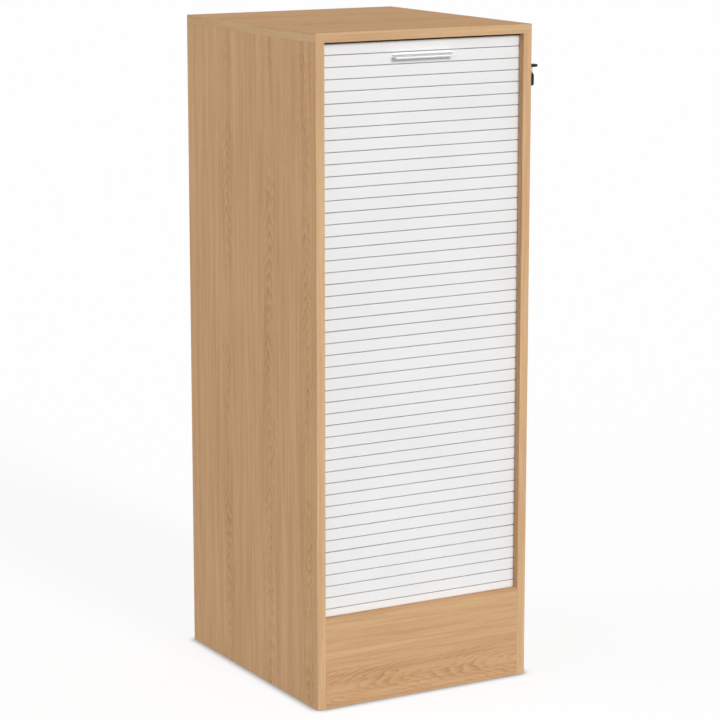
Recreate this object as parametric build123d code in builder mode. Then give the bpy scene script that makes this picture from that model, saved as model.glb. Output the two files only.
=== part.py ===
"""Tambour filing cabinet: an oak-look carcass, a roller shutter of interlocking slats, a side lock.

Millimetres, +Z up, front towards -Y. The origin is on the floor under the middle of the carcass.
"""

import os

from build123d import *

os.makedirs("parts", exist_ok=True)

# Carcass
height = 1150
width = 418
depth = 474
board = 16  # sides, top, bottom and floor
band = 1  # glued edge band
plinth_height = 160
plinth_board = 12
back_board = 3
back_rebate = 8  # how far the outer back reaches into each side
inner_back_board = 8
inner_back_inset = 44  # rear face of the cabinet to the front of the inner back
floor_inset = 30  # front face of the cabinet to the floor board
housing_depth = 5  # grooves that hold the shelves and the inner back
fit = 0.2  # clearance of a board in its groove

# Filing shelves
shelf_count = 10
shelf_board = 8
shelf_inset = 56

# Shutter slats: a front wall, a hook on top and a socket below that takes the next slat's hook
slat_pitch = 20
slat_depth = 8
slat_wall = 1.6
link_wall = 1.4
link_clearance = 0.4
link_lift = 1.0  # free height above the hook's tip
hook_reach = 1.8  # how far the hook's tip points forward
seam = 1.2  # gap between two faces
seam_chamfer = 0.6
web_drop = 1.0  # top web below the slat's upper pitch line
shutter_inset = 14  # front face of the cabinet to the slats
shutter_top_gap = 3
top_slat_height = 19  # the top slat has no hook and is a little lower
hidden_slats = 2  # whole slats that stay behind the plinth

# Track routed in the sides
track_depth = 8
track_clearance = 0.7  # each side of a slat
slat_end_clearance = 1
bend_radius = 60
track_low = 40  # middle of the lower run above the floor
track_rear_inset = 22
track_rear_top = 600

# Handle on the second slat
handle_length = 115
handle_top_drop = 1  # below the slat's upper pitch line
flange_edge = 1.2  # thickness of its upper edge
shelf_wall = 1.6
cove_radius = 6
bead_radius = 2.1
bead_reach = 14  # slat face to the bead's middle
bead_rise = 0.6  # bead's top above the shelf that the cove runs into
handle_screw_spacing = 90
handle_screw_diameter = 3.5
handle_screw_grip = 2
handle_screw_rise = 2.4  # above the handle's underside
handle_screw_head = 7
handle_screw_head_height = 2

# Lock in the right side
lock_drop = 75  # below the top of the cabinet
lock_inset = 40
barrel_diameter = 18
barrel_inside = 7
lock_flange_diameter = 23
lock_flange = 2
nut_flats = 22
nut_height = 4
plug_diameter = 12
plug_clearance = 0.3
plug_head_diameter = 15
plug_head = 1.5
plug_tail = 6  # square that drives the cam
cam_plate = 2.5
cam_hub = 14
cam_width = 9
cam_reach = 16.5
cam_screw_diameter = 3
cam_screw_length = 9
cam_screw_head = 9
cam_screw_head_height = 2
keeper_width = 12
keeper_reach = 9  # slat face to the hanging tongue
keeper_tongue = 4
keeper_play = 2

# Keys
key_sheet = 2
key_blade_width = 7.6
key_blade_length = 22  # from the bow into the plug
key_slot_clearance = 0.15
key_stop = 11  # panel face to the bow
key_tang = 6
bow_width = 19
bow_length = 26
bow_thickness = 4.4
bow_edge = 1.5
bow_hole = 10
bow_hole_sides = 12
bow_hole_to_tip = 11
notch_count = 4
notch_depth = 2
ring_radius = 10.2
ring_wire = 1.2
ring_wire_sides = 4
ring_hang = 6.9  # ring's centre below the rim of the bow that it hangs on
key_gap = 0.3

# Fittings
cam_disc_diameter = 15
cam_disc_height = 12
cam_disc_setback = 24  # disc's centre to the board's end
cam_bolt_shank = 7
cam_bolt_thread = 5
cam_bolt_grip = 11
fitting_sides = 8  # the fittings and their bores are drawn with flat sides
fitting_front = 95  # front face of the cabinet to the first row of fittings
fitting_back = 89  # rear face of the cabinet to the second row
dowel_diameter = 6
dowel_length = 24
dowel_grip = 10
dowel_heights = (45, 115)
nail_head = 5
nail_head_height = 1
nail_shank = 1.8
nail_length = 18
nails_per_side = 4
nail_margin = 60
bottom_nails = 2

# Places that follow from the sizes above
front = -depth / 2
rear = depth / 2
inner = width / 2 - board  # inner face of a side
side_top = height - board
floor_top = plinth_height
compartment_pitch = (side_top - floor_top) / (shelf_count + 1)
shelf_levels = [floor_top + compartment_pitch * (k + 1) for k in range(shelf_count)]
inner_back_front = rear - inner_back_inset
inner_back_rear = inner_back_front + inner_back_board
slat_face = front + shutter_inset
shutter_top = side_top - shutter_top_gap
top_slat_base = shutter_top - top_slat_height
handle_slat_base = top_slat_base - slat_pitch
curtain_height = handle_slat_base - plinth_height
curtain_count = int(curtain_height // slat_pitch) + 1 + hidden_slats
slat_length = 2 * (inner + track_depth - slat_end_clearance)
lock_y = front + lock_inset
lock_z = height - lock_drop
panel_face = width / 2
plug_end = inner - barrel_inside - plug_clearance
bow_base = panel_face + key_stop
bow_hole_x = bow_base + bow_length - bow_hole_to_tip
rim = (bow_width - bow_hole) / 2  # strip of the bow between its hole and its side
rim_y = lock_y + (bow_width - rim) / 2
ring_z = lock_z - ring_hang
spare_hole_top = ring_z - ring_radius + ring_wire / 2 + key_gap
spare_tip = spare_hole_top + bow_hole_to_tip - bow_hole / 2
sides = {"left": -1, "right": 1}


def finish(piece, name):
    """Label a finished piece and write it."""
    piece.part.label = name
    export_step(piece.part, f"parts/{name}.step")


def box_between(x, y, z):
    """A block given by its two limits along each axis."""
    with Locations(((x[0] + x[1]) / 2, (y[0] + y[1]) / 2, (z[0] + z[1]) / 2)):
        Box(x[1] - x[0], y[1] - y[0], z[1] - z[0])


def fitting_section(diameter, mode=Mode.ADD):
    """The section of a small fitting, or of the bore that takes it."""
    RegularPolygon(diameter / 2, fitting_sides, mode=mode)


# Fitting places: (height of the board's middle) for the boards that butt against the sides
floor_middle = floor_top - board / 2
bottom_middle = board / 2
fitting_rows = [front + fitting_front, rear - fitting_back]
butt_levels = [bottom_middle, floor_middle]
dowel_y = front + plinth_board / 2
nail_step = (side_top - 2 * nail_margin) / (nails_per_side - 1)
nail_levels = [nail_margin + nail_step * k for k in range(nails_per_side)]
nail_x = inner + back_rebate / 2
bottom_nail_step = 2 * inner / (bottom_nails + 1)
bottom_nail_places = [-inner + bottom_nail_step * (k + 1) for k in range(bottom_nails)]
side_bolt_x = inner + board / 2
top_disc_z = side_top - cam_disc_setback


# Sides: track, housings, rear rebate and bores are cut from the inner face
for side_name, side in sides.items():
    inner_face = Plane.YZ.offset(side * inner)
    with BuildPart() as side_panel:
        with BuildSketch(inner_face):
            with Locations(((front + band + rear) / 2, side_top / 2)):
                Rectangle(depth - band, side_top)
        extrude(amount=side * board)
        with BuildSketch(inner_face):
            with BuildLine():
                FilletPolyline(
                    (slat_face + slat_depth / 2, side_top + slat_pitch),
                    (slat_face + slat_depth / 2, track_low),
                    (rear - track_rear_inset, track_low),
                    (rear - track_rear_inset, track_rear_top),
                    radius=bend_radius,
                )
            trace(line_width=slat_depth + 2 * track_clearance)
        extrude(amount=side * track_depth, mode=Mode.SUBTRACT)
        with BuildSketch(inner_face):
            shelf_run = inner_back_front - front - shelf_inset
            with Locations(*[(inner_back_front - shelf_run / 2, z) for z in shelf_levels]):
                Rectangle(shelf_run, shelf_board + fit)
            with Locations(((inner_back_front + inner_back_rear) / 2, (floor_top + side_top) / 2)):
                Rectangle(inner_back_board + fit, side_top - floor_top)
        extrude(amount=side * housing_depth, mode=Mode.SUBTRACT)
        with BuildSketch(inner_face):
            with Locations((rear - back_board / 2, side_top / 2)):
                Rectangle(back_board, side_top)
        extrude(amount=side * back_rebate, mode=Mode.SUBTRACT)
        with BuildSketch(inner_face):
            with Locations(*[(y, top_disc_z) for y in fitting_rows]):
                fitting_section(cam_disc_diameter)
        extrude(amount=side * cam_disc_height, mode=Mode.SUBTRACT)
        with BuildSketch(Plane.XY.offset(side_top)):
            with Locations(*[(side * side_bolt_x, y) for y in fitting_rows]):
                fitting_section(cam_bolt_shank)
        extrude(amount=-cam_disc_setback, mode=Mode.SUBTRACT)
        with BuildSketch(inner_face):
            with Locations(*[(y, z) for y in fitting_rows for z in butt_levels]):
                fitting_section(cam_bolt_thread)
        extrude(amount=side * cam_bolt_grip, mode=Mode.SUBTRACT)
        with BuildSketch(inner_face):
            with Locations(*[(dowel_y, z) for z in dowel_heights]):
                fitting_section(dowel_diameter)
        extrude(amount=side * dowel_grip, mode=Mode.SUBTRACT)
        with BuildSketch(Plane.XZ.offset(-rear)):
            with Locations(*[(side * nail_x, z) for z in nail_levels]):
                fitting_section(nail_shank)
        extrude(amount=nail_length, mode=Mode.SUBTRACT)
        if side_name == "right":
            with BuildSketch(inner_face):
                with Locations((lock_y, lock_z)):
                    fitting_section(barrel_diameter)
            extrude(amount=board, mode=Mode.SUBTRACT)
    finish(side_panel, f"side_panel_{side_name}")

    with BuildPart() as edge_band:
        outer = side * width / 2
        box_between(sorted((side * inner, outer)), (front, front + band), (0, side_top))
    finish(edge_band, f"edge_band_{side_name}")


# Top: lies over the sides, banded all round, threaded for the cam bolts
with BuildPart() as top_panel:
    box_between((band - width / 2, width / 2 - band), (front + band, rear - band), (side_top, height))
    with BuildSketch(Plane.XY.offset(side_top)):
        with Locations(*[(s * side_bolt_x, y) for s in sides.values() for y in fitting_rows]):
            fitting_section(cam_bolt_thread)
    extrude(amount=cam_bolt_grip, mode=Mode.SUBTRACT)
finish(top_panel, "top_panel")

with BuildPart() as top_edge_bands:
    with BuildSketch(Plane.XY.offset(side_top)):
        with Locations((0, front + band / 2), (0, rear - band / 2)):
            Rectangle(width, band)
    extrude(amount=board)
    with BuildSketch(Plane.XY.offset(side_top)):
        with Locations((band / 2 - width / 2, 0), (width / 2 - band / 2, 0)):
            Rectangle(band, depth - 2 * band)
    extrude(amount=board)
finish(top_edge_bands, "top_edge_bands")


def butt_board(name, y, z, disc_face, disc_direction):
    """A board between the sides, bored for cam bolts in its ends and for discs in one face."""
    with BuildPart() as butt:
        box_between((-inner, inner), y, z)
        for side in sides.values():
            with BuildSketch(Plane.YZ.offset(side * inner)):
                with Locations(*[(row, (z[0] + z[1]) / 2) for row in fitting_rows]):
                    fitting_section(cam_bolt_shank)
            extrude(amount=-side * cam_disc_setback, mode=Mode.SUBTRACT)
        with BuildSketch(Plane.XY.offset(disc_face)):
            disc_x = inner - cam_disc_setback
            with Locations(*[(s * disc_x, row) for s in sides.values() for row in fitting_rows]):
                fitting_section(cam_disc_diameter)
        extrude(amount=disc_direction * cam_disc_height, mode=Mode.SUBTRACT)
        if name == "bottom_panel":
            with BuildSketch(Plane.XZ.offset(-rear)):
                with Locations(*[(x, bottom_middle) for x in bottom_nail_places]):
                    fitting_section(nail_shank)
            extrude(amount=nail_length, mode=Mode.SUBTRACT)
    finish(butt, name)


# Bottom, and the floor that closes the space of the shutter's lower run
butt_board("bottom_panel", (front + plinth_board, rear - back_board), (0, board), board, -1)
floor_run = (front + floor_inset, inner_back_rear)
butt_board("compartment_floor", floor_run, (floor_top - board, floor_top), floor_top - board, 1)

# Plinth, with dowel holes in its ends
with BuildPart() as plinth_panel:
    box_between((-inner, inner), (front, front + plinth_board), (0, plinth_height))
    for side in sides.values():
        with BuildSketch(Plane.YZ.offset(side * inner)):
            with Locations(*[(dowel_y, z) for z in dowel_heights]):
                fitting_section(dowel_diameter)
        extrude(amount=-side * (dowel_length - dowel_grip), mode=Mode.SUBTRACT)
finish(plinth_panel, "plinth_panel")

# Backs: the inner one stands on the floor in its housings, the outer one is nailed into the rebates
with BuildPart() as inner_back_panel:
    half = inner + housing_depth - fit
    box_between((-half, half), (inner_back_front, inner_back_rear), (floor_top, side_top))
finish(inner_back_panel, "inner_back_panel")

with BuildPart() as back_panel:
    half = inner + back_rebate
    box_between((-half, half), (rear - back_board, rear), (0, side_top))
    side_nails = [(s * nail_x, z) for s in sides.values() for z in nail_levels]
    nail_places = side_nails + [(x, bottom_middle) for x in bottom_nail_places]
    with BuildSketch(Plane.XZ.offset(-rear)):
        with Locations(*nail_places):
            fitting_section(nail_head)
    extrude(amount=nail_head_height, mode=Mode.SUBTRACT)
    with BuildSketch(Plane.XZ.offset(-rear)):
        with Locations(*nail_places):
            fitting_section(nail_shank)
    extrude(amount=back_board, mode=Mode.SUBTRACT)
finish(back_panel, "back_panel")

with BuildPart() as back_nails:
    with BuildSketch(Plane.XZ.offset(-rear)):
        with Locations(*nail_places):
            fitting_section(nail_head)
    extrude(amount=nail_head_height)
    with BuildSketch(Plane.XZ.offset(-rear)):
        with Locations(*nail_places):
            fitting_section(nail_shank)
    extrude(amount=nail_length)
finish(back_nails, "back_nails")

# Filing shelves, housed in the sides
for number, level in enumerate(shelf_levels, start=1):
    with BuildPart() as shelf:
        with BuildSketch(Plane.XY.offset(level - (shelf_board + fit) / 2)):
            shelf_front = front + shelf_inset
            with Locations((0, (shelf_front + inner_back_front) / 2)):
                Rectangle(2 * (inner + housing_depth - fit), inner_back_front - shelf_front)
        extrude(amount=shelf_board)
    finish(shelf, f"filing_shelf_{number:02d}")


# Slat section, from its pitch line upwards and from its face backwards
socket_back = slat_depth - link_wall
hook_back = socket_back - link_clearance
hook_front = hook_back - link_wall
lip_top = seam / 2 + link_wall
socket_roof = lip_top + link_clearance + link_wall + link_lift


def slat_section(face_height, hooked):
    """The section of a slat, with a hook or a plain edge on top."""
    web_top = face_height - web_drop
    web_base = web_top - link_wall
    tip_base = face_height + lip_top + link_clearance
    face = [
        (seam_chamfer, seam / 2),
        (0, seam / 2 + seam_chamfer),
        (0, face_height - seam / 2 - seam_chamfer),
        (seam_chamfer, face_height - seam / 2),
        (slat_wall, face_height - seam / 2),
        (slat_wall, web_top),
    ]
    hook = [
        (hook_front, web_top),
        (hook_front, tip_base),
        (hook_front - hook_reach, tip_base),
        (hook_front - hook_reach, tip_base + link_wall),
        (hook_back, tip_base + link_wall),
    ]
    plain_top = [(hook_back, web_top)]
    back = [
        (hook_back, web_base),
        (slat_wall, web_base),
        (slat_wall, socket_roof + link_wall),
        (slat_depth, socket_roof + link_wall),
        (slat_depth, seam / 2),
        (socket_back, seam / 2),
        (socket_back, socket_roof),
        (slat_wall, socket_roof),
        (slat_wall, lip_top),
        (hook_front - link_clearance, lip_top),
        (hook_front - link_clearance, seam / 2),
    ]
    with BuildSketch() as section:
        with BuildLine():
            Polyline(*face, *(hook if hooked else plain_top), *back, close=True)
        make_face()
    return section.sketch


hooked_section = slat_section(slat_pitch, hooked=True)
slat_plane = Plane.YZ.offset(-slat_length / 2)

with BuildPart() as shutter_top_slat:
    with BuildSketch(slat_plane):
        with Locations((slat_face, top_slat_base)):
            add(slat_section(top_slat_height, hooked=False))
    extrude(amount=slat_length)
finish(shutter_top_slat, "shutter_top_slat")

handle_top = handle_slat_base + slat_pitch - handle_top_drop
shelf_z = handle_top - cove_radius
handle_bottom = shelf_z - shelf_wall
handle_screw_z = handle_bottom + handle_screw_rise
half_spacing = handle_screw_spacing / 2
handle_screws_at = [(-half_spacing, handle_screw_z), (half_spacing, handle_screw_z)]

with BuildPart() as shutter_handle_slat:
    with BuildSketch(slat_plane):
        with Locations((slat_face, handle_slat_base)):
            add(hooked_section)
    extrude(amount=slat_length)
    with BuildSketch(Plane.XZ.offset(-slat_face)):
        with Locations(*handle_screws_at):
            fitting_section(handle_screw_diameter)
    extrude(amount=-slat_wall, mode=Mode.SUBTRACT)
finish(shutter_handle_slat, "shutter_handle_slat")

with BuildPart() as shutter_slats:
    with BuildSketch(slat_plane):
        for k in range(curtain_count):
            with Locations((slat_face, handle_slat_base - slat_pitch * (k + 1))):
                add(hooked_section)
    extrude(amount=slat_length)
finish(shutter_slats, "shutter_slats")

# Handle: a cove that sweeps out from the slat to a shelf, which ends in a round bead
cove_y = slat_face - flange_edge - cove_radius
bead_y = slat_face - bead_reach
with BuildPart() as handle:
    with BuildSketch(Plane.YZ.offset(-handle_length / 2)):
        with BuildLine():
            cove = CenterArc((cove_y, handle_top), cove_radius, 0, -90)
            Polyline(
                cove @ 1,
                (bead_y, shelf_z),
                (bead_y, handle_bottom),
                (slat_face, handle_bottom),
                (slat_face, handle_top),
                cove @ 0,
            )
        make_face()
        with Locations((bead_y, shelf_z + bead_rise - bead_radius)):
            Circle(bead_radius)
    extrude(amount=handle_length)
    with BuildSketch(Plane.XZ.offset(-slat_face)):
        with Locations(*handle_screws_at):
            fitting_section(handle_screw_diameter)
    extrude(amount=handle_screw_grip, mode=Mode.SUBTRACT)
finish(handle, "handle")

with BuildPart() as handle_screws:
    with BuildSketch(Plane.XZ.offset(-slat_face - slat_wall)):
        with Locations(*handle_screws_at):
            fitting_section(handle_screw_head)
    extrude(amount=-handle_screw_head_height)
    with BuildSketch(Plane.XZ.offset(-slat_face - slat_wall)):
        with Locations(*handle_screws_at):
            fitting_section(handle_screw_diameter)
    extrude(amount=slat_wall + handle_screw_grip)
finish(handle_screws, "handle_screws")

# Keeper: slid into the handle slat's channel, its tongue hangs above the turned cam
cam_x = plug_end - cam_plate / 2
keeper_back = slat_face + keeper_reach
with BuildPart() as lock_keeper:
    keeper_x = (cam_x - keeper_width / 2, cam_x + keeper_width / 2)
    channel_top = handle_slat_base + slat_pitch - web_drop - link_wall
    channel = (handle_slat_base + socket_roof + link_wall, channel_top)
    box_between(keeper_x, (slat_face + slat_wall, keeper_back), channel)
    tongue_base = lock_z + cam_width / 2 + keeper_play
    box_between(keeper_x, (keeper_back, keeper_back + keeper_tongue), (tongue_base, channel[1]))
finish(lock_keeper, "lock_keeper")

# Lock housing: threaded barrel through the right side, held by a nut
with BuildPart() as lock_housing:
    with BuildSketch(Plane.YZ.offset(inner - barrel_inside)):
        with Locations((lock_y, lock_z)):
            fitting_section(barrel_diameter)
    extrude(amount=barrel_inside + board)
    with BuildSketch(Plane.YZ.offset(panel_face)):
        with Locations((lock_y, lock_z)):
            Circle(lock_flange_diameter / 2)
    extrude(amount=lock_flange)
    with BuildSketch(Plane.YZ.offset(inner - barrel_inside)):
        with Locations((lock_y, lock_z)):
            Circle(plug_diameter / 2 + plug_clearance)
    extrude(amount=barrel_inside + board + lock_flange, mode=Mode.SUBTRACT)
finish(lock_housing, "lock_housing")

with BuildPart() as lock_nut:
    with BuildSketch(Plane.YZ.offset(inner)):
        with Locations((lock_y, lock_z)):
            RegularPolygon(nut_flats / 2, 6, major_radius=False)
            fitting_section(barrel_diameter, Mode.SUBTRACT)
    extrude(amount=-nut_height)
finish(lock_nut, "lock_nut")

# Plug: turns in the housing, slotted for the key, square tail for the cam
plug_face = panel_face + lock_flange + plug_clearance
key_mouth = plug_face + plug_head
with BuildPart() as lock_plug:
    with BuildSketch(Plane.YZ.offset(plug_end)):
        with Locations((lock_y, lock_z)):
            Circle(plug_diameter / 2)
    extrude(amount=plug_face - plug_end)
    with BuildSketch(Plane.YZ.offset(plug_face)):
        with Locations((lock_y, lock_z)):
            Circle(plug_head_diameter / 2)
    extrude(amount=plug_head)
    with BuildSketch(Plane.YZ.offset(plug_end)):
        with Locations((lock_y, lock_z)):
            Rectangle(plug_tail, plug_tail)
    extrude(amount=-cam_plate)
    with BuildSketch(Plane.YZ.offset(key_mouth)):
        with Locations((lock_y, lock_z)):
            Rectangle(key_blade_width + 2 * key_slot_clearance, key_sheet + 2 * key_slot_clearance)
    extrude(amount=bow_base - key_mouth - key_blade_length - key_gap, mode=Mode.SUBTRACT)
    with BuildSketch(Plane.YZ.offset(plug_end - cam_plate)):
        with Locations((lock_y, lock_z)):
            fitting_section(cam_screw_diameter)
    extrude(amount=cam_screw_length, mode=Mode.SUBTRACT)
finish(lock_plug, "lock_plug")

with BuildPart() as lock_cam:
    with BuildSketch(Plane.YZ.offset(plug_end)):
        with Locations((lock_y, lock_z)):
            Circle(cam_hub / 2)
        with Locations((lock_y, lock_z - cam_reach / 2)):
            Rectangle(cam_width, cam_reach)
        with Locations((lock_y, lock_z)):
            Rectangle(plug_tail, plug_tail, mode=Mode.SUBTRACT)
    extrude(amount=-cam_plate)
finish(lock_cam, "lock_cam")

with BuildPart() as cam_screw:
    with BuildSketch(Plane.YZ.offset(plug_end - cam_plate)):
        with Locations((lock_y, lock_z)):
            fitting_section(cam_screw_head)
    extrude(amount=-cam_screw_head_height)
    with BuildSketch(Plane.YZ.offset(plug_end - cam_plate)):
        with Locations((lock_y, lock_z)):
            fitting_section(cam_screw_diameter)
    extrude(amount=cam_screw_length)
finish(cam_screw, "cam_screw")


def make_key(bow_plane, prefix):
    """A key on a plane whose origin is the foot of its bow and whose x axis runs to the bow's tip."""
    blade_half = key_blade_width / 2
    notch_step = key_blade_length / (notch_count + 1)
    with BuildPart() as blade:
        with BuildSketch(bow_plane):
            with Locations(((key_tang - key_blade_length) / 2, 0)):
                Rectangle(key_tang + key_blade_length, key_blade_width)
            with Locations(*[(-notch_step * (k + 1), blade_half) for k in range(notch_count)]):
                RegularPolygon(notch_depth, 4, mode=Mode.SUBTRACT)
        extrude(amount=key_sheet / 2, both=True)
    finish(blade, f"{prefix}_blade")

    with BuildPart() as bow:
        straight = bow_length - bow_width / 2
        with BuildSketch(bow_plane):
            with Locations((straight / 2, 0)):
                Rectangle(straight, bow_width)
            with Locations((straight, 0)):
                Circle(bow_width / 2)
            with Locations((bow_length - bow_hole_to_tip, 0)):
                RegularPolygon(bow_hole / 2, bow_hole_sides, major_radius=False, mode=Mode.SUBTRACT)
        extrude(amount=bow_thickness / 2, both=True)
        through = Axis(bow_plane.origin, bow_plane.z_dir)
        chamfer(bow.edges().filter_by(through, reverse=True), bow_edge)
        with BuildSketch(bow_plane):
            with Locations((key_tang / 2, 0)):
                Rectangle(key_tang, key_blade_width)
        extrude(amount=key_sheet / 2, both=True, mode=Mode.SUBTRACT)
    finish(bow, f"{prefix}_bow")


# Key in the lock, its spare on the ring, and the ring round the rear rim of the first bow
make_key(Plane((bow_base, lock_y, lock_z), x_dir=(1, 0, 0), z_dir=(0, 0, 1)), "key")
spare_foot = spare_tip - bow_length
make_key(Plane((bow_hole_x, rim_y, spare_foot), x_dir=(0, 0, 1), z_dir=(0, 1, 0)), "spare_key")

with BuildPart() as key_ring:
    with BuildSketch(Plane.XZ.offset(-rim_y)):
        with Locations((bow_hole_x, ring_z + ring_radius)):
            RegularPolygon(ring_wire / 2, ring_wire_sides)
    revolve(axis=Axis((bow_hole_x, rim_y, ring_z), (1, 0, 0)))
finish(key_ring, "key_ring")


# Kit fittings: a bolt reaches from one board into the slot of a disc in the other
top_joints = []
butt_joints = []
for s in sides.values():
    for y in fitting_rows:
        top_joints.append(Plane((s * side_bolt_x, y, side_top), z_dir=(0, 0, 1)))
        butt_joints += [Plane((s * inner, y, z), z_dir=(s, 0, 0)) for z in butt_levels]
with BuildPart() as cam_bolts:
    for joint in top_joints + butt_joints:
        with BuildSketch(joint):
            fitting_section(cam_bolt_thread)
        extrude(amount=cam_bolt_grip)
        with BuildSketch(joint):
            fitting_section(cam_bolt_shank)
        extrude(amount=-cam_disc_setback)
finish(cam_bolts, "cam_bolts")

with BuildPart() as cam_discs:
    for s in sides.values():
        with BuildSketch(Plane.YZ.offset(s * inner)):
            with Locations(*[(y, top_disc_z) for y in fitting_rows]):
                fitting_section(cam_disc_diameter)
        extrude(amount=s * cam_disc_height)
    for face, direction in ((board, -1), (floor_top - board, 1)):
        with BuildSketch(Plane.XY.offset(face)):
            disc_x = inner - cam_disc_setback
            with Locations(*[(s * disc_x, y) for s in sides.values() for y in fitting_rows]):
                fitting_section(cam_disc_diameter)
        extrude(amount=direction * cam_disc_height)
    for joint in top_joints + butt_joints:
        with BuildSketch(joint):
            fitting_section(cam_bolt_shank)
        extrude(amount=-cam_disc_setback, mode=Mode.SUBTRACT)
finish(cam_discs, "cam_discs")

with BuildPart() as wood_dowels:
    for s in sides.values():
        with BuildSketch(Plane.YZ.offset(s * (inner + dowel_grip))):
            with Locations(*[(dowel_y, z) for z in dowel_heights]):
                fitting_section(dowel_diameter)
        extrude(amount=-s * dowel_length)
finish(wood_dowels, "wood_dowels")

bead_foot = shelf_z + bead_rise - 2 * bead_radius
print(f"shutter travel {bead_foot - plinth_height:.1f}, slats in the curtain {curtain_count}")
print(f"lock axis y {lock_y:.1f} z {lock_z:.1f}, ring hangs at y {rim_y:.2f}")
curtain_foot = handle_slat_base - slat_pitch * curtain_count + seam / 2
print(f"ring foot z {ring_z - ring_radius:.2f}, curtain starts at z {curtain_foot:.1f}")
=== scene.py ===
"""Looks of a tambour filing cabinet: oak-look boards, a white roller shutter, a side lock and its keys.

Metres, +Z up, the shutter faces -Y. Every piece sits where the frame's node that it stands for sits.
"""

import math

import bpy
from mathutils import Matrix, Vector


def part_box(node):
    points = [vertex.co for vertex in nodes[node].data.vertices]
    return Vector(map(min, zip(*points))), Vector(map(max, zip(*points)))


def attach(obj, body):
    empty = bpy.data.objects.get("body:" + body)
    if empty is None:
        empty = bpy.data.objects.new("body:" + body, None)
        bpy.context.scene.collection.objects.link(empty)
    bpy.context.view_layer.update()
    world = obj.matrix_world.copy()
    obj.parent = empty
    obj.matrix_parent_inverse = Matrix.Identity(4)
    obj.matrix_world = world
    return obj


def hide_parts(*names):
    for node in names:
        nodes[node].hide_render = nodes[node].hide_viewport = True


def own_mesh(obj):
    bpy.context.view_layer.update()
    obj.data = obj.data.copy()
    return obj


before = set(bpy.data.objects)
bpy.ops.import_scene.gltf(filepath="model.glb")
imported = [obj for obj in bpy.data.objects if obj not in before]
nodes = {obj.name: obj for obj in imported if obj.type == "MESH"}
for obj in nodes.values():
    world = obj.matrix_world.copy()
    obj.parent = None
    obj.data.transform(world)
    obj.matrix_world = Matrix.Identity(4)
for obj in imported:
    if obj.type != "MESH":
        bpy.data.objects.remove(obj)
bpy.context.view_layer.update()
bpy.ops.object.select_all(action="DESELECT")


# Sides
# Two upright boards of chipboard with a printed oak face, grain upright. Each is cut to size, grooved
# for the shutter, housed for the shelves and the inner back, rebated at the rear and bored for fittings.
EASE = 0.0006  # the broken arris of a board
ROUND_BELOW = 50  # degrees between two faces that shade as one
TRACK_DEPTH = 0.008
TRACK_WIDTH = 0.0094
TRACK_FOOT = 0.1
REBATE_DEPTH = 0.008
REBATE_WIDTH = 0.003
DISC_BORE = (0.0076, 0.0122)  # radius and depth
LOCK_BORE = 0.0091  # radius
FIT = 0.00005  # play between a board and its housing
CLEAR = 0.01  # how far a cutter reaches past a piece
OAK_TONES = ((0.644, 0.394, 0.217), (0.657, 0.411, 0.226), (0.670, 0.430, 0.235))
BAND_STOPS = (0.40, 0.50, 0.60)
STREAK_STAIN = (0.885, 0.835, 0.785)
FIGURE_STAIN = (0.76, 0.67, 0.58)
OAK_SPECULAR = 0.04
PORE_RELIEF = (0.12, 0.0003)  # strength and depth

# Grain: changes in a metre along it, changes in a metre across it, finer layers, and where its noise starts
FINE_SHARE = 0.6  # how strong the finer layers are
SWAY = (1.6, 4.0, 2.0, 0.0)
BANDS = (1.6, 46.0, 3.0, 3.1)
STREAKS = (5.0, 190.0, 4.0, 7.7)
PORES = (50.0, 750.0, 2.0, 5.9)
DRIFT = (5.0, 0.0, 1.0, 0.0)
WANDER = (10.0, 55.0, 3.0, 1.3)
PATCHES = (9.0, 30.0, 2.0, 6.1)
STROKES = (40.0, 260.0, 2.0, 8.3)
SWAY_REACH = 0.016
WANDER_REACH = 3  # in spacings of a figure
DRIFT_APART = 5  # keeps one figure's drift unlike the next one's
TURNS_APART = 9

# Spans: a value between the first two becomes one between the last two
NOISE_ENDS = (0.3, 0.7)
STREAK_SPAN = (0.40, 0.64, 0.0, 1.0)
PORE_SPAN = (0.58, 0.72, 1.0, 0.86)
OAK_ROUGHNESS = (*NOISE_ENDS, 0.68, 0.58)
TURN_SPAN = (0.44, 0.56, -1.0, 1.0)
LINE_SPAN = (0.25, 0.95, 0.0, 1.0)
PATCH_SPAN = (0.38, 0.60, 0.20, 1.0)
STROKE_SPAN = (0.36, 0.58, 0.45, 1.0)

# Figures: place across the grain, half width, spacing, slope, width of the tip, turns in a metre
SIDE_FIGURES = (
    (-0.203, 0.021, 0.024, 2.0, 0.005, 2.6),
    (-0.066, 0.023, 0.027, 2.3, 0.005, 2.2),
    (0.090, 0.020, 0.025, 2.4, 0.005, 2.4),
)


def pick(piece):
    """Makes a piece the only selected one."""
    bpy.ops.object.select_all(action="DESELECT")
    piece.select_set(True)
    bpy.context.view_layer.objects.active = piece


def fix_place(piece):
    """Moves a piece's place, turn and scale into its mesh."""
    pick(piece)
    bpy.ops.object.transform_apply(location=True, rotation=True, scale=True)


def add_block(name, low, high):
    """A block between two corners, its place in its mesh."""
    middle = (Vector(low) + Vector(high)) / 2
    bpy.ops.mesh.primitive_cube_add(size=1, location=middle, scale=Vector(high) - Vector(low))
    block = bpy.context.object
    block.name = name
    fix_place(block)
    return block


def add_rod(name, radius, start, end, sides=48):
    """A round rod from one point to another, its place in its mesh."""
    run = Vector(end) - Vector(start)
    middle = (Vector(start) + Vector(end)) / 2
    turn = run.to_track_quat("Z", "Y").to_euler()
    bpy.ops.mesh.primitive_cylinder_add(
        vertices=sides, radius=radius, depth=run.length, location=middle, rotation=turn)
    rod = bpy.context.object
    rod.name = name
    fix_place(rod)
    return rod


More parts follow.
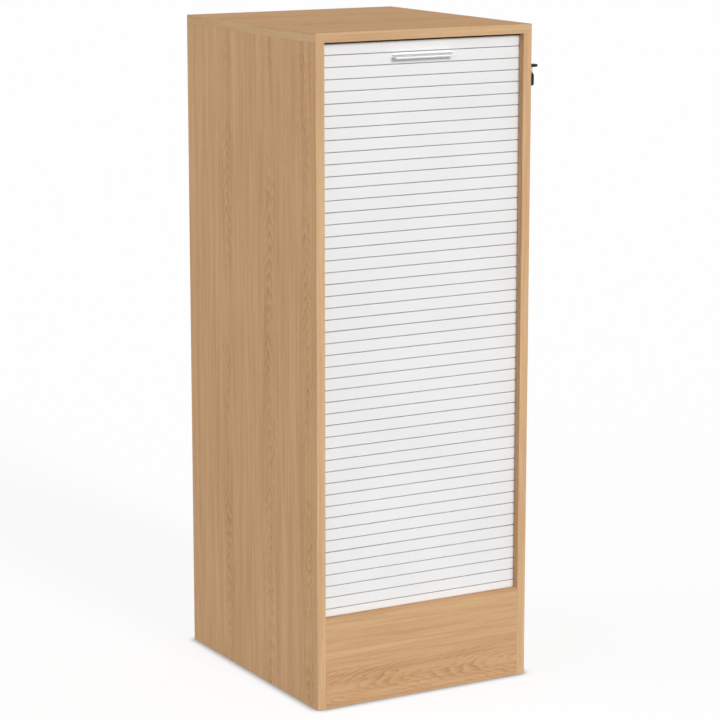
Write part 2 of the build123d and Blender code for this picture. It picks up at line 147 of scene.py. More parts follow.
def apply_modifier(piece, kind, **settings):
    """Adds one modifier to a piece and applies it."""
    modifier = piece.modifiers.new(kind.title(), kind)
    for key, value in settings.items():
        setattr(modifier, key, value)
    pick(piece)
    bpy.ops.object.modifier_apply(modifier=modifier.name)


def cut_away(piece, cutter):
    """Takes a cutter's space out of a piece and removes the cutter."""
    apply_modifier(piece, "BOOLEAN", operation="DIFFERENCE", object=cutter, solver="EXACT")
    bpy.data.objects.remove(cutter)


def ease_edges(piece, width, segments=2):
    """Rounds the sharp edges of a piece and keeps its broad faces flat."""
    apply_modifier(piece, "BEVEL", width=width, segments=segments, limit_method="ANGLE")
    bpy.ops.object.shade_smooth_by_angle(angle=math.radians(ROUND_BELOW))
    apply_modifier(piece, "WEIGHTED_NORMAL", keep_sharp=True)


def solids_of(node_name):
    """The separate solids of a frame node, each as its lowest and highest corner."""
    mesh = nodes[node_name].data
    spots = [tuple(round(c, 6) for c in vertex.co) for vertex in mesh.vertices]
    leader = {spot: spot for spot in spots}

    def lead(spot):
        """The spot that stands for a spot's whole solid."""
        while leader[spot] != spot:
            spot = leader[spot]
        return spot

    for face in mesh.polygons:
        first = lead(spots[face.vertices[0]])
        for corner in face.vertices[1:]:
            leader[lead(spots[corner])] = first
    gathered = {}
    for spot in leader:
        gathered.setdefault(lead(spot), []).append(spot)
    corners = []
    for points in gathered.values():
        lowest = Vector(map(min, zip(*points)))
        highest = Vector(map(max, zip(*points)))
        corners.append((lowest, highest))
    return corners


def new_material(name, colour):
    """A material whose shader starts with one colour; returns the material and its shader."""
    material = bpy.data.materials.new(name)
    material.use_nodes = True
    material.diffuse_color = (*colour, 1)
    shader = material.node_tree.nodes["Principled BSDF"]
    shader.inputs["Base Color"].default_value = (*colour, 1)
    return material, shader


def add_node(material, kind, inputs=(), **settings):
    """Adds a node; inputs are (socket, value or output) pairs, settings are its own fields."""
    made = material.node_tree.nodes.new(kind)
    for key, value in settings.items():
        setattr(made, key, value)
    for socket, value in inputs:
        if isinstance(value, bpy.types.NodeSocket):
            material.node_tree.links.new(value, made.inputs[socket])
        else:
            made.inputs[socket].default_value = value
    return made


def feed(material, shader, socket, output):
    """Links a node's output to one socket of a shader."""
    material.node_tree.links.new(output, shader.inputs[socket])


def maths(material, operation, first, second=0.0, third=0.0):
    """The output of a math node."""
    inputs = [(0, first), (1, second), (2, third)]
    return add_node(material, "ShaderNodeMath", inputs, operation=operation).outputs[0]


def stretched_noise(material, along, across, grain, shift=0.0):
    """Noise drawn out along the grain: a value round 0.5."""
    often_along, often_across, layers, start = grain
    place = add_node(material, "ShaderNodeCombineXYZ", [
        ("X", maths(material, "MULTIPLY", along, often_along)),
        ("Y", maths(material, "MULTIPLY", across, often_across)),
        ("Z", shift + start),
    ])
    noise = add_node(material, "ShaderNodeTexNoise", [
        ("Vector", place.outputs[0]), ("Scale", 1.0), ("Detail", layers), ("Roughness", FINE_SHARE),
    ])
    return noise.outputs["Fac"]


def ramp(material, value, stops):
    """A colour ramp with (place, colour) stops."""
    made = add_node(material, "ShaderNodeValToRGB", [("Fac", value)])
    elements = made.color_ramp.elements
    while len(elements) < len(stops):
        elements.new(0.5)
    for element, (place, colour) in zip(elements, stops):
        element.position = place
        element.color = (*colour, 1)
    return made.outputs["Color"]


def remap(material, value, span):
    """A value moved from one span to another, held at its ends."""
    low, high, to_low, to_high = span
    return add_node(material, "ShaderNodeMapRange", [
        ("Value", value), ("From Min", low), ("From Max", high), ("To Min", to_low), ("To Max", to_high),
    ]).outputs[0]


def stain(material, colour, tint, amount=1.0):
    """A colour multiplied by a tint as far as the amount goes."""
    inputs = [(0, amount), (6, colour), (7, tint)]
    return add_node(material, "ShaderNodeMix", inputs, data_type="RGBA", blend_type="MULTIPLY").outputs[2]


def add_relief(material, shader, height, relief):
    """Lets a height show as fine relief; relief is its strength and depth."""
    strength, depth = relief
    inputs = [("Strength", strength), ("Distance", depth), ("Height", height)]
    feed(material, shader, "Normal", add_node(material, "ShaderNodeBump", inputs).outputs[0])


def oak_figure(material, along, across, figure, shift):
    """How dark one column of nested arches is: the cut through a trunk's rings."""
    centre, half_width, spacing, slope, tip, turning = figure
    drift = stretched_noise(material, along, across, DRIFT, shift + DRIFT_APART * centre)
    middle = maths(material, "MULTIPLY_ADD", drift, half_width, centre - half_width / 2)
    off = maths(material, "SUBTRACT", across, middle)
    lean = -1.0
    if turning:
        turns = (turning, 0.0, 0.0, 0.0)
        turned = stretched_noise(material, along, across, turns, shift + TURNS_APART * centre)
        lean = remap(material, turned, TURN_SPAN)
    reach = maths(material, "SQRT", maths(material, "MULTIPLY_ADD", off, off, tip * tip))
    bow = maths(material, "MULTIPLY", maths(material, "MULTIPLY", reach, slope), lean)
    wander = stretched_noise(material, along, across, WANDER, shift)
    ridge = maths(material, "MULTIPLY_ADD", wander, WANDER_REACH * spacing, along)
    ridge = maths(material, "ADD", ridge, bow)
    saw = maths(material, "FRACT", maths(material, "DIVIDE", ridge, spacing))
    line = remap(material, saw, LINE_SPAN)
    near = maths(material, "DIVIDE", off, half_width)
    fade = maths(material, "MULTIPLY", maths(material, "MULTIPLY", near, near), -1.0)
    column = maths(material, "EXPONENT", fade)
    patches = remap(material, stretched_noise(material, along, across, PATCHES, shift), PATCH_SPAN)
    strokes = remap(material, stretched_noise(material, along, across, STROKES, shift), STROKE_SPAN)
    strength = maths(material, "MULTIPLY", maths(material, "ABSOLUTE", lean), patches)
    drawn = maths(material, "MULTIPLY", maths(material, "MULTIPLY", line, strokes), strength)
    return maths(material, "MULTIPLY", column, drawn)


def oak_finish(name, grain_axis, cross_axis, shift, figures=(), tones=OAK_TONES):
    """Printed oak with its grain along one axis. The shift sets one print apart from the others."""
    material, shader = new_material(name, tones[1])
    place = add_node(material, "ShaderNodeTexCoord").outputs["Object"]
    split = add_node(material, "ShaderNodeSeparateXYZ", [("Vector", place)]).outputs
    along = split[grain_axis]
    sway = stretched_noise(material, along, split[cross_axis], SWAY, shift)
    swing = maths(material, "MULTIPLY_ADD", sway, SWAY_REACH, -SWAY_REACH / 2)
    across = maths(material, "ADD", split[cross_axis], swing)
    bands = stretched_noise(material, along, across, BANDS, shift)
    colour = ramp(material, bands, list(zip(BAND_STOPS, tones)))
    streaks = stretched_noise(material, along, across, STREAKS, shift)
    colour = stain(material, colour, (*STREAK_STAIN, 1), remap(material, streaks, STREAK_SPAN))
    for figure in figures:
        drawn = oak_figure(material, along, across, figure, shift)
        colour = stain(material, colour, (*FIGURE_STAIN, 1), drawn)
    pits = remap(material, stretched_noise(material, along, across, PORES, shift), PORE_SPAN)
    feed(material, shader, "Base Color", stain(material, colour, pits))
    feed(material, shader, "Roughness", remap(material, streaks, OAK_ROUGHNESS))
    shader.inputs["Specular IOR Level"].default_value = OAK_SPECULAR
    add_relief(material, shader, pits, PORE_RELIEF)
    return material


def dress(piece, material):
    """Gives a piece or a frame node one material."""
    piece.data.materials.clear()
    piece.data.materials.append(material)


def settle(piece, material, stands_for, body="cabinet"):
    """Dresses a finished piece and ties it to the frame."""
    dress(piece, material)
    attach(piece, body)
    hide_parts(stands_for)


slat_low, slat_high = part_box("shutter_top_slat")
track_front = (slat_low.y + slat_high.y - TRACK_WIDTH) / 2
housed = [name for name in nodes if name.startswith("filing_shelf")] + ["inner_back_panel"]
lock_low, lock_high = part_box("lock_housing")
lock_middle = (lock_low + lock_high) / 2


def on_lock_line(x):
    """A point on the line that the lock turns about."""
    return (x, lock_middle.y, lock_middle.z)


side_oak = oak_finish("oak_upright", "Z", "Y", 0.0, SIDE_FIGURES)
for side_name, outward in (("left", -1), ("right", 1)):
    low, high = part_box(f"side_panel_{side_name}")
    side = add_block(f"side_{side_name}", low, high)
    inner_x = high.x if outward < 0 else low.x
    air_x = inner_x - outward * CLEAR
    across = sorted((air_x, inner_x + outward * TRACK_DEPTH))
    track_low = (across[0], track_front, TRACK_FOOT)
    track_high = (across[1], track_front + TRACK_WIDTH, high.z + CLEAR)
    cut_away(side, add_block("track", track_low, track_high))
    across = sorted((air_x, inner_x + outward * REBATE_DEPTH))
    rebate_low = (across[0], high.y - REBATE_WIDTH, -CLEAR)
    rebate_high = (across[1], high.y + CLEAR, high.z + CLEAR)
    cut_away(side, add_block("rebate", rebate_low, rebate_high))
    for name in housed:
        board_low, board_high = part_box(name)
        play = Vector((FIT, FIT, FIT))
        cut_away(side, add_block("housing", board_low - play, board_high + play))
    bore_radius, bore_depth = DISC_BORE
    for disc_low, disc_high in solids_of("cam_discs"):
        disc = (disc_low + disc_high) / 2
        if disc.x * outward > abs(inner_x):
            bore_end = (inner_x + outward * bore_depth, disc.y, disc.z)
            cut_away(side, add_rod("bore", bore_radius, (air_x, disc.y, disc.z), bore_end))
    if outward > 0:
        lock_line = (on_lock_line(low.x - CLEAR), on_lock_line(high.x + CLEAR))
        cut_away(side, add_rod("lock_bore", LOCK_BORE, *lock_line))
    ease_edges(side, EASE)
    settle(side, side_oak, f"side_panel_{side_name}")


# Front edge bands
# A millimetre of lighter oak-look band is glued to the front edge of each side and trimmed flush,
# so the front shows two pale upright strips with softly broken corners.
BAND_TONES = ((0.680, 0.437, 0.245), (0.704, 0.462, 0.262), (0.722, 0.482, 0.274))
BAND_EASE = 0.7 * EASE
band_oak = oak_finish("oak_band_upright", "Z", "X", 11.0, (), BAND_TONES)
for side_name in ("left", "right"):
    band = add_block(f"front_band_{side_name}", *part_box(f"edge_band_{side_name}"))
    ease_edges(band, BAND_EASE)
    settle(band, band_oak, f"edge_band_{side_name}")


# Top
# One board lies over both sides, grain across the front. Its four edges carry a glued band as well:
# the front and rear strips run the whole width, the side strips fit between them.
# The top's print is a darker, warmer copy of the sides' print: painted shade against the sheen that the top
# catches.
SHADED_TOP_TONES = ((0.624, 0.368, 0.179), (0.637, 0.382, 0.185), (0.650, 0.398, 0.192))
TOP_BAND_TONES = ((0.657, 0.420, 0.235), (0.678, 0.443, 0.250), (0.696, 0.463, 0.262))
# The top's end strips take a darker copy of the band print than the upright bands: painted shade.
SHADED_TOP_SIDE_TONES = ((0.620, 0.396, 0.221), (0.640, 0.418, 0.235), (0.657, 0.437, 0.247))
TOP_FIGURES = ((-0.06, 0.022, 0.025, 2.2, 0.005, 2.5), (0.11, 0.020, 0.023, 2.4, 0.005, 2.5))
TOP_EASE = 0.3 * EASE
TOP_BAND_EASE = 0.5 * EASE
top_oak = oak_finish("oak_across_top", "X", "Y", 21.0, TOP_FIGURES, SHADED_TOP_TONES)
top = add_block("top_board", *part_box("top_panel"))
ease_edges(top, TOP_EASE)
settle(top, top_oak, "top_panel")

low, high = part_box("top_edge_bands")
inside_low, inside_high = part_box("top_panel")
band_across = oak_finish("oak_band_across", "X", "Z", 31.0, (), TOP_BAND_TONES)
band_deep = oak_finish("oak_band_deep", "Y", "Z", 41.0, (), SHADED_TOP_SIDE_TONES)
for name, corner_a, corner_b, finish in (
    ("front", low, (high.x, inside_low.y, high.z), band_across),
    ("rear", (low.x, inside_high.y, low.z), high, band_across),
    ("left", (low.x, inside_low.y, low.z), (inside_low.x, inside_high.y, high.z), band_deep),
    ("right", (inside_high.x, inside_low.y, low.z), (high.x, inside_high.y, high.z), band_deep),
):
    band = add_block(f"top_band_{name}", corner_a, corner_b)
    ease_edges(band, TOP_BAND_EASE)
    settle(band, finish, "top_edge_bands")


# Plinth
# A low board closes the foot of the front, flush with the bands and dowelled between the sides.
# Its print runs level and shows one broad flame near the floor.
PLINTH_FIGURES = ((0.036, 0.040, 0.028, 5.0, 0.018, 0.0),)
plinth_oak = oak_finish("oak_across_plinth", "X", "Z", 51.0, PLINTH_FIGURES)
plinth = add_block("plinth_board", *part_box("plinth_panel"))
ease_edges(plinth, EASE)
settle(plinth, plinth_oak, "plinth_panel")


# Bottom and compartment floor
# Two more boards of the same print stand between the sides on cam fittings. The upper one is the floor
# of the lowest compartment; the shutter runs back between them.
level_oak = oak_finish("oak_across_floor", "X", "Y", 61.0)
for name in ("bottom_panel", "compartment_floor"):
    dress(nodes[name], level_oak)


# Cam fittings and dowels
# Zinc-plated kit fittings: a turned disc with a cross slot in each bore, the bolt that it pulls tight,
# and beech dowels that keep the plinth in line.
ZINC = (0.62, 0.63, 0.64)
ZINC_ROUGHNESS = 0.35
POLISH = (1400.0, 3.0)  # marks in a metre, and their finer layers
MARK_SHADE = 0.9
MARK_ROUGHNESS = 0.12
DISC_RADIUS = 0.0075
DISC_EASE = 0.0003
DISC_SLOT = (0.0015, 0.0075, 0.0025)  # width, length and depth of the cross slot
SLOT_CLEAR = 0.001
BEECH_TONES = ((0.56, 0.39, 0.24), (0.60, 0.43, 0.27), (0.64, 0.46, 0.30))


def even_noise(material, texture):
    """Noise alike in every direction, a value round 0.5; texture is its scale and its finer layers."""
    scale, layers = texture
    place = add_node(material, "ShaderNodeTexCoord").outputs["Object"]
    inputs = [("Vector", place), ("Scale", scale), ("Detail", layers)]
    return add_node(material, "ShaderNodeTexNoise", inputs).outputs["Fac"]


def plated(name, colour, rough):
    """Plated metal with faint polishing marks."""
    material, shader = new_material(name, colour)
    shader.inputs["Metallic"].default_value = 1.0
    marks = even_noise(material, POLISH)
    darker = tuple(c * MARK_SHADE for c in colour)
    feed(material, shader, "Base Color", ramp(material, marks, list(zip(NOISE_ENDS, (darker, colour)))))
    roughness = remap(material, marks, (*NOISE_ENDS, rough, rough + MARK_ROUGHNESS))
    feed(material, shader, "Roughness", roughness)
    return material


def repeat_at(pattern, places, name):
    """Copies a pattern to (point, axis) places, its +Z along each axis, and joins the copies."""
    copies = []
    for point, axis in places:
        twin = pattern.copy()
        twin.data = pattern.data.copy()
        bpy.context.scene.collection.objects.link(twin)
        turn = Vector(axis).to_track_quat("Z", "Y").to_matrix().to_4x4()
        twin.matrix_world = Matrix.Translation(point) @ turn
        copies.append(twin)
    bpy.data.objects.remove(pattern)
    pick(copies[0])
    for twin in copies:
        twin.select_set(True)
    bpy.ops.object.transform_apply(location=True, rotation=True, scale=True)
    bpy.ops.object.join()
    copies[0].name = name
    return copies[0]


zinc = plated("zinc_plate", ZINC, ZINC_ROUGHNESS)
disc_places = []
for low, high in solids_of("cam_discs"):
    size = high - low
    axis = Vector([1.0 if size[k] == min(size) else 0.0 for k in range(3)])
    disc_places.append(((low + high) / 2, axis))
    disc_height = min(size)
disc = add_rod("disc", DISC_RADIUS, (0, 0, -disc_height / 2), (0, 0, disc_height / 2), sides=32)
slot_width, slot_length, slot_depth = DISC_SLOT
for end in (-1, 1):
    face = end * disc_height / 2
    span = sorted((face - end * slot_depth, face + end * SLOT_CLEAR))
    for half_x, half_y in ((slot_width / 2, slot_length / 2), (slot_length / 2, slot_width / 2)):
        cut_away(disc, add_block("slot", (-half_x, -half_y, span[0]), (half_x, half_y, span[1])))
ease_edges(disc, DISC_EASE)
settle(repeat_at(disc, disc_places, "cam_disc_set"), zinc, "cam_discs")
for name in ("cam_bolts", "cam_screw", "handle_screws"):
    dress(nodes[name], zinc)
dress(nodes["wood_dowels"], oak_finish("beech_dowel", "X", "Z", 71.0, (), BEECH_TONES))


# Backs
# White coated fibreboard: an inner back stands in its housings and hides the gathered shutter; a thin
# outer back is nailed into the rebates with round-headed nails.
BOARD_WHITE = (0.80, 0.80, 0.785)
PEEL = (900.0, 2.0)  # dimples in a metre, and their finer layers
PEEL_RELIEF = (0.06, 0.0002)
CLOUD = (6.0, 3.0)
CLOUD_STOPS = (0.35, 0.65)
CLOUD_SHADE = 0.97
COAT_ROUGHNESS = (*NOISE_ENDS, 0.45, 0.55)
COAT_SPECULAR = 0.3
NAIL_HEAD = (0.0025, 0.0010)  # radius and height
NAIL_SHANK = 0.0009  # radius
NAIL_EASE = 0.0004


def coated_white(name, colour):
    """White coated board or plastic with a fine orange-peel surface."""
    material, shader = new_material(name, colour)
    darker = tuple(c * CLOUD_SHADE for c in colour)
    clouds = ramp(material, even_noise(material, CLOUD), list(zip(CLOUD_STOPS, (darker, colour))))
    feed(material, shader, "Base Color", clouds)
    peel = even_noise(material, PEEL)
    feed(material, shader, "Roughness", remap(material, peel, COAT_ROUGHNESS))
    shader.inputs["Specular IOR Level"].default_value = COAT_SPECULAR
    add_relief(material, shader, peel, PEEL_RELIEF)
    return material


def join_on(piece, other):
    """Adds another piece's space to a piece and removes the other."""
    apply_modifier(piece, "BOOLEAN", operation="UNION", object=other, solver="EXACT")
    bpy.data.objects.remove(other)


white_board = coated_white("coated_white_board", BOARD_WHITE)
for name in ("inner_back_panel", "back_panel"):
    dress(nodes[name], white_board)

nail_places = []
for low, high in solids_of("back_nails"):
    nail_places.append((((low.x + high.x) / 2, high.y, (low.z + high.z) / 2), (0, 1, 0)))
    nail_length = high.y - low.y
head_radius, head_height = NAIL_HEAD
nail = add_rod("nail", head_radius, (0, 0, -head_height), (0, 0, 0), sides=24)
join_on(nail, add_rod("shank", NAIL_SHANK, (0, 0, -nail_length), (0, 0, -head_height / 2), sides=12))
ease_edges(nail, NAIL_EASE, segments=3)
settle(repeat_at(nail, nail_places, "back_nail_set"), zinc, "back_nails")


# Filing shelves
# Ten thin boards of the same white fibreboard slide into housings in the sides and divide the inside
# into flat compartments. Their edges are softly broken.
SHELF_EASE = 0.0004
MERGE_WITHIN = 0.000005
FLAT_WITHIN = 0.5  # degrees


def copy_of(node_name, piece_name):
    """A merged copy of a frame node, free of the frame."""
    piece = nodes[node_name].copy()
    piece.data = nodes[node_name].data.copy()
    piece.name = piece_name
    piece.parent = None
    for key in list(piece.keys()):
        del piece[key]
    bpy.context.scene.collection.objects.link(piece)
    pick(piece)
    bpy.ops.object.mode_set(mode="EDIT")
    bpy.ops.mesh.select_all(action="SELECT")
    bpy.ops.mesh.customdata_custom_splitnormals_clear()
    bpy.ops.mesh.remove_doubles(threshold=MERGE_WITHIN)
    bpy.ops.mesh.dissolve_limited(angle_limit=math.radians(FLAT_WITHIN))
    bpy.ops.object.mode_set(mode="OBJECT")
    return piece


for name in sorted(nodes):
    if name.startswith("filing_shelf"):
        shelf = copy_of(name, name.replace("filing_shelf", "shelf"))
        ease_edges(shelf, SHELF_EASE)
        settle(shelf, white_board, name)


# Shutter
# White plastic slats hook into one another and run in the track. The top slat and the handle slat are
# one rigid lead; the curtain below follows them down and gathers behind the plinth.
SLAT_WHITE = (0.86, 0.86, 0.86)
# The hooks and sockets behind the slats' faces are a darker grey: painted shade in the seams between slats.
SEAM_SHADE_GREY = (0.68, 0.68, 0.68)
LINK_DEPTH = 0.0007  # behind the face, where the links begin


def paint_seam_shade(piece):
    """Paints shade into the seams: the hooks and sockets behind a shutter's faces get a darker grey."""
    piece.data.materials.append(painted_seam_shade)
    for face in piece.data.polygons:
        if face.center.y > slat_low.y + LINK_DEPTH:
            face.material_index = 1


slat_white = coated_white("slat_white", SLAT_WHITE)
painted_seam_shade = coated_white("painted_seam_shade", SEAM_SHADE_GREY)
for name, piece_name in (("shutter_top_slat", "top_slat"), ("shutter_handle_slat", "handle_slat")):
    slat = copy_of(name, piece_name)
    settle(slat, slat_white, name, "shutter")
    paint_seam_shade(slat)

curtain = copy_of("shutter_slats", "shutter_curtain")
settle(curtain, slat_white, "shutter_slats")
paint_seam_shade(curtain)
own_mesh(curtain)


# Handle
# A drawn aluminium grip, screwed to its slat from behind: its base sweeps forward in a cove to a shelf
# that ends in a round bead for the fingertips. Satin anodised, with fine lines from the drawing.
HANDLE_TONES = ((0.80, 0.82, 0.835), (0.84, 0.86, 0.875))
HANDLE_MIDDLE = (0.82, 0.84, 0.855)
HANDLE_METALLIC = 0.8
HANDLE_ROUGHNESS = (*NOISE_ENDS, 0.30, 0.40)
HANDLE_ROUND_BELOW = 35  # degrees
DRAWN_LINES = (8.0, 5000.0, 2.0, 0.0)
handle_metal, shader = new_material("satin_aluminium", HANDLE_MIDDLE)
shader.inputs["Metallic"].default_value = HANDLE_METALLIC
place = add_node(handle_metal, "ShaderNodeTexCoord").outputs["Object"]
split = add_node(handle_metal, "ShaderNodeSeparateXYZ", [("Vector", place)]).outputs
drawn = stretched_noise(handle_metal, split["X"], split["Z"], DRAWN_LINES)
feed(handle_metal, shader, "Roughness", remap(handle_metal, drawn, HANDLE_ROUGHNESS))
feed(handle_metal, shader, "Base Color", ramp(handle_metal, drawn, list(zip(NOISE_ENDS, HANDLE_TONES))))
grip = copy_of("handle", "handle_grip")
bpy.ops.object.shade_smooth_by_angle(angle=math.radians(HANDLE_ROUND_BELOW))
settle(grip, handle_metal, "handle", "shutter")


# Lock
# A nickel-plated cam lock: a flanged barrel through the right side, a nut behind it, a plug with a
# keyway, and a cam that swings under a grey plastic keeper on the shutter.
NICKEL = (0.72, 0.71, 0.68)
NICKEL_ROUGHNESS = 0.22
BARREL_RADIUS = 0.0089
BORE_RADIUS = 0.0063
FLANGE_RADIUS = 0.0115
FLANGE = 0.002
BARREL_EASE = 0.0006
FITTING_EASE = 0.0003
KEEPER_EASE = 0.0004
KEEPER_GREY = (0.45, 0.45, 0.45)
SPARK_GRAIN = (3000.0, 2.0)  # grains in a metre, and their finer layers
SPARK_STOPS = (0.35, 0.7)
SPARK_LIGHT = 1.4
MOULD_ROUGHNESS = (*NOISE_ENDS, 0.45, 0.6)
MOULD_SPECULAR = 0.2


def moulded(name, colour):
    """Moulded plastic with a fine spark-eroded grain."""
    material, shader = new_material(name, colour)
    shader.inputs["Specular IOR Level"].default_value = MOULD_SPECULAR
    grain = even_noise(material, SPARK_GRAIN)
    lighter = tuple(c * SPARK_LIGHT for c in colour)
    feed(material, shader, "Base Color", ramp(material, grain, list(zip(SPARK_STOPS, (colour, lighter)))))
    feed(material, shader, "Roughness", remap(material, grain, MOULD_ROUGHNESS))
    return material


nickel = plated("nickel_plate", NICKEL, NICKEL_ROUGHNESS)
barrel = add_rod("lock_body", BARREL_RADIUS, on_lock_line(lock_low.x), on_lock_line(lock_high.x))
flange_line = (on_lock_line(lock_high.x - FLANGE), on_lock_line(lock_high.x))
join_on(barrel, add_rod("flange", FLANGE_RADIUS, *flange_line, sides=64))
bore_line = (on_lock_line(lock_low.x - CLEAR), on_lock_line(lock_high.x + CLEAR))
cut_away(barrel, add_rod("bore", BORE_RADIUS, *bore_line))
ease_edges(barrel, BARREL_EASE, segments=3)
settle(barrel, nickel, "lock_housing")
for name, piece_name, owner in (
    ("lock_nut", "barrel_nut", "cabinet"),
    ("lock_plug", "plug_core", "key"),
    ("lock_cam", "cam_tongue", "key"),
):
    piece = copy_of(name, piece_name)
    ease_edges(piece, FITTING_EASE)
    settle(piece, nickel, name, owner)
keeper = copy_of("lock_keeper", "keeper_block")
ease_edges(keeper, KEEPER_EASE)
settle(keeper, moulded("grey_keeper", KEEPER_GREY), "lock_keeper", "shutter")


# Keys
# Two flat keys cut from nickel-plated sheet with black moulded heads. One stands in the lock, its spare
# hangs on a sprung split ring through both heads.
HEAD_BLACK = (0.008, 0.010, 0.010)
HEAD_FOOT = 0.3  # how full the rounded foot of a head is
HEAD_ROUND = 0.0014
HOLE_RADIUS = 0.005
HOLE_TO_TIP = 0.011
NEAR_ZERO = 0.0001
TIP_UP = Matrix(((0, 1, 0, 0), (0, 0, 1, 0), (1, 0, 0, 0), (0, 0, 0, 1)))
key_black = moulded("black_key_head", HEAD_BLACK)
bow_low, bow_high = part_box("key_bow")
head_length, head_width, head_thickness = bow_high - bow_low


def key_head(name):
    """A moulded key head, its foot at the origin and its tip towards +X."""
    half = head_width / 2
    middle = head_length - half
    head = add_rod(name, half, (0, 0, -head_thickness / 2), (0, 0, head_thickness / 2), sides=64)
    bpy.ops.object.mode_set(mode="EDIT")
    bpy.ops.mesh.select_mode(type="VERT")
    bpy.ops.mesh.select_all(action="DESELECT")
    bpy.ops.object.mode_set(mode="OBJECT")
    for vertex in head.data.vertices:
        vertex.select = vertex.co.x < NEAR_ZERO
    bpy.ops.object.mode_set(mode="EDIT")
    bpy.ops.transform.resize(value=(HEAD_FOOT, 1, 1), center_override=(0, 0, 0))
    bpy.ops.transform.translate(value=(HEAD_FOOT * half - middle, 0, 0))
    bpy.ops.mesh.select_all(action="SELECT")
    bpy.ops.transform.translate(value=(middle, 0, 0))
    bpy.ops.object.mode_set(mode="OBJECT")
    hole_x = head_length - HOLE_TO_TIP
    cut_away(head, add_rod("hole", HOLE_RADIUS, (hole_x, 0, -CLEAR), (hole_x, 0, CLEAR)))
    ease_edges(head, HEAD_ROUND, segments=4)
    return head


head = key_head("key_head")
bow_middle = (bow_low + bow_high) / 2
head.matrix_world = Matrix.Translation((bow_low.x, bow_middle.y, bow_middle.z))
fix_place(head)
settle(head, key_black, "key_bow", "key")
low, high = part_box("spare_key_bow")
head = key_head("spare_key_head")
bow_middle = (low + high) / 2
head.matrix_world = Matrix.Translation((bow_middle.x, bow_middle.y, low.z)) @ TIP_UP
fix_place(head)
settle(head, key_black, "spare_key_bow", "spare")
for name in ("key_blade", "spare_key_blade"):
    dress(nodes[name], nickel)


# Key ring
# A split ring of flat spring steel wire, wound two turns side by side and nickel plated. It is threaded
# through both key heads and hangs from the key in the lock.
RING_PITCH = 0.0006
RING_WIRE = (0.00028, 0.0005)  # half its thickness along the ring's axis and across it
RING_INSET = 0.0006  # from the ring's outside to the middle of its wire
RING_TURN = 718  # degrees, two turns less a slit
RING_STEPS = 144
RING_MERGE = 0.000001
low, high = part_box("key_ring")
ring_middle = (low + high) / 2
ring_radius = (high.z - low.z) / 2 - RING_INSET
bpy.ops.mesh.primitive_circle_add(
    vertices=12, radius=1, fill_type="NGON", location=(0, 0, ring_radius), rotation=(math.pi / 2, 0, 0))
ring = bpy.context.object
ring.name = "split_ring"
ring.scale = (*RING_WIRE, 1)
fix_place(ring)
apply_modifier(
    ring, "SCREW", axis="X", angle=math.radians(RING_TURN), screw_offset=2 * RING_PITCH, steps=RING_STEPS,
    render_steps=RING_STEPS, use_merge_vertices=False, use_normal_calculate=True)
bpy.ops.object.mode_set(mode="EDIT")
bpy.ops.mesh.select_all(action="SELECT")
bpy.ops.mesh.remove_doubles(threshold=RING_MERGE)
bpy.ops.mesh.normals_make_consistent(inside=False)
bpy.ops.object.mode_set(mode="OBJECT")
ring.location = ring_middle - Vector((RING_PITCH, 0, 0))
fix_place(ring)
bpy.ops.object.shade_smooth_by_angle(angle=math.radians(ROUND_BELOW))
settle(ring, nickel, "key_ring", "ring")


# Stage
# A pale floor that stays white away from the part and keeps its shadow, its glow dimmed at the foot as a
# painted contact shadow, a soft white surround, one soft light from the front, a little to the right, and a
# weaker one from the left and a little behind.
FLOOR_HALF = 40.0
FLOOR_BOUNCE = 0.30
FLOOR_GLOW = 0.84
FLOOR_TINT = 0.20
# The contact reach and span below dim the floor's glow where the part closes it in: a painted contact
# shadow.
CONTACT_REACH = 0.02
CONTACT_SAMPLES = 8
CONTACT_SPAN = (0.5, 0.95, 0.25, 1.0)  # how open the floor is at the foot, and the glow left there
SURROUND = 0.95
SURROUND_DIP = 0.95  # how much weaker the surround is straight above
KEY_TOWARDS = (-0.097, 0.922, -0.375)
KEY_STRENGTH = 1.77
KEY_SPREAD = 15
SIDE_TOWARDS = (0.92, -0.36, -0.15)
SIDE_STRENGTH = 1.25
SIDE_SPREAD = 40


def seen_directly(owner):
    """One for rays that show a thing as it looks, nought for rays that only light other things."""
    path = add_node(owner, "ShaderNodeLightPath").outputs
    seen = maths(owner, "MAXIMUM", path["Is Camera Ray"], path["Is Glossy Ray"])
    return maths(owner, "MAXIMUM", seen, path["Is Transmission Ray"])


def add_sun(name, towards, strength, spread):
    """A far light that shines one way, softened by its spread in degrees."""
    bpy.ops.object.light_add(type="SUN")
    sun = bpy.context.object
    sun.name = name
    sun.data.energy = strength
    sun.data.angle = math.radians(spread)
    sun.rotation_euler = Vector(towards).to_track_quat("-Z", "Y").to_euler()


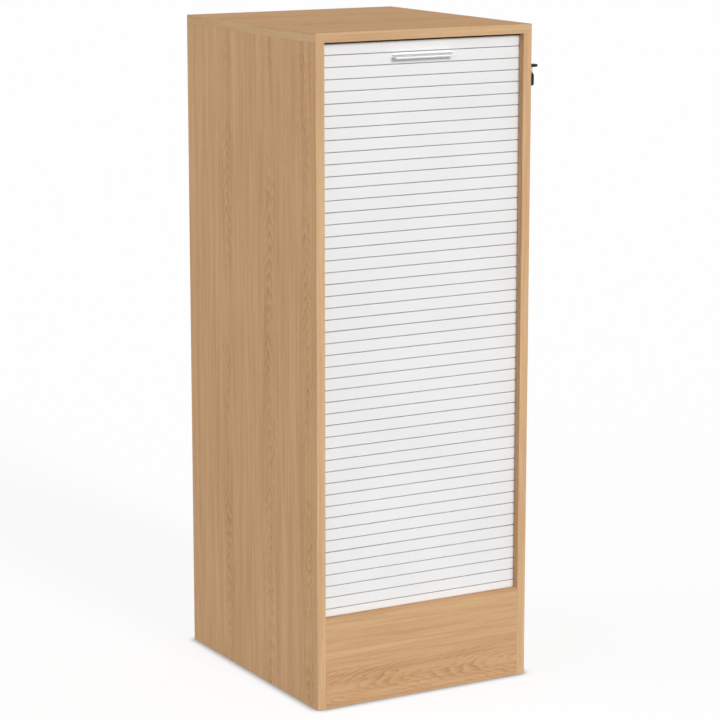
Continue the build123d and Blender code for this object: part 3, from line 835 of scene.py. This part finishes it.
bpy.ops.mesh.primitive_plane_add(size=2 * FLOOR_HALF)
floor = bpy.context.object
floor.name = "floor"
floor_white, shader = new_material("floor_white", (FLOOR_BOUNCE, FLOOR_BOUNCE, FLOOR_BOUNCE))
shader.inputs["Roughness"].default_value = 1.0
shader.inputs["Specular IOR Level"].default_value = 0.0
reach = [("Distance", CONTACT_REACH)]
contact = add_node(floor_white, "ShaderNodeAmbientOcclusion", reach, samples=CONTACT_SAMPLES)
# Painted contact shadow: the glow fades where the floor is closed in at the foot.
painted_contact_shade = remap(floor_white, contact.outputs["AO"], CONTACT_SPAN)
tint = (FLOOR_TINT, FLOOR_TINT, FLOOR_TINT, 1)
shadow_catch = add_node(floor_white, "ShaderNodeBsdfDiffuse", [("Color", tint)])
strength = maths(floor_white, "MULTIPLY", painted_contact_shade, FLOOR_GLOW)
glow = add_node(floor_white, "ShaderNodeEmission", [("Color", (1, 1, 1, 1)), ("Strength", strength)])
shown = add_node(floor_white, "ShaderNodeAddShader", [(0, shadow_catch.outputs[0]), (1, glow.outputs[0])])
choice = [(0, seen_directly(floor_white)), (1, shader.outputs[0]), (2, shown.outputs[0])]
mixed = add_node(floor_white, "ShaderNodeMixShader", choice)
feed(floor_white, floor_white.node_tree.nodes["Material Output"], "Surface", mixed.outputs[0])
dress(floor, floor_white)

world = bpy.data.worlds.new("surround")
bpy.context.scene.world = world
world.use_nodes = True
backdrop = world.node_tree.nodes["Background"]
backdrop.inputs["Color"].default_value = (1, 1, 1, 1)
way = add_node(world, "ShaderNodeTexCoord").outputs["Generated"]
rise = add_node(world, "ShaderNodeSeparateXYZ", [("Vector", way)]).outputs["Z"]
soft = maths(world, "MULTIPLY_ADD", maths(world, "MULTIPLY", rise, rise), -SURROUND_DIP, SURROUND)
strength = maths(world, "MULTIPLY_ADD", seen_directly(world), maths(world, "SUBTRACT", 1.0, soft), soft)
feed(world, backdrop, "Strength", strength)

add_sun("key_light", KEY_TOWARDS, KEY_STRENGTH, KEY_SPREAD)
add_sun("side_light", SIDE_TOWARDS, SIDE_STRENGTH, SIDE_SPREAD)


# Camera
# It stands to the front left, above the cabinet's top, and looks down on it through a long lens with
# neither shift nor blur.
CAMERA_PLACE = (-2.339, -4.124, 1.5085)
CAMERA_YAW = 29.65
CAMERA_PITCH = -11.459
CAMERA_LENS = 136.2
CAMERA_REACH = 200
look = (math.radians(90 + CAMERA_PITCH), 0, -math.radians(CAMERA_YAW))
bpy.ops.object.camera_add(location=CAMERA_PLACE, rotation=look)
camera = bpy.context.object
camera.data.lens = CAMERA_LENS
camera.data.clip_end = CAMERA_REACH
bpy.context.scene.camera = camera
bpy.context.scene.view_settings.view_transform = "Standard"
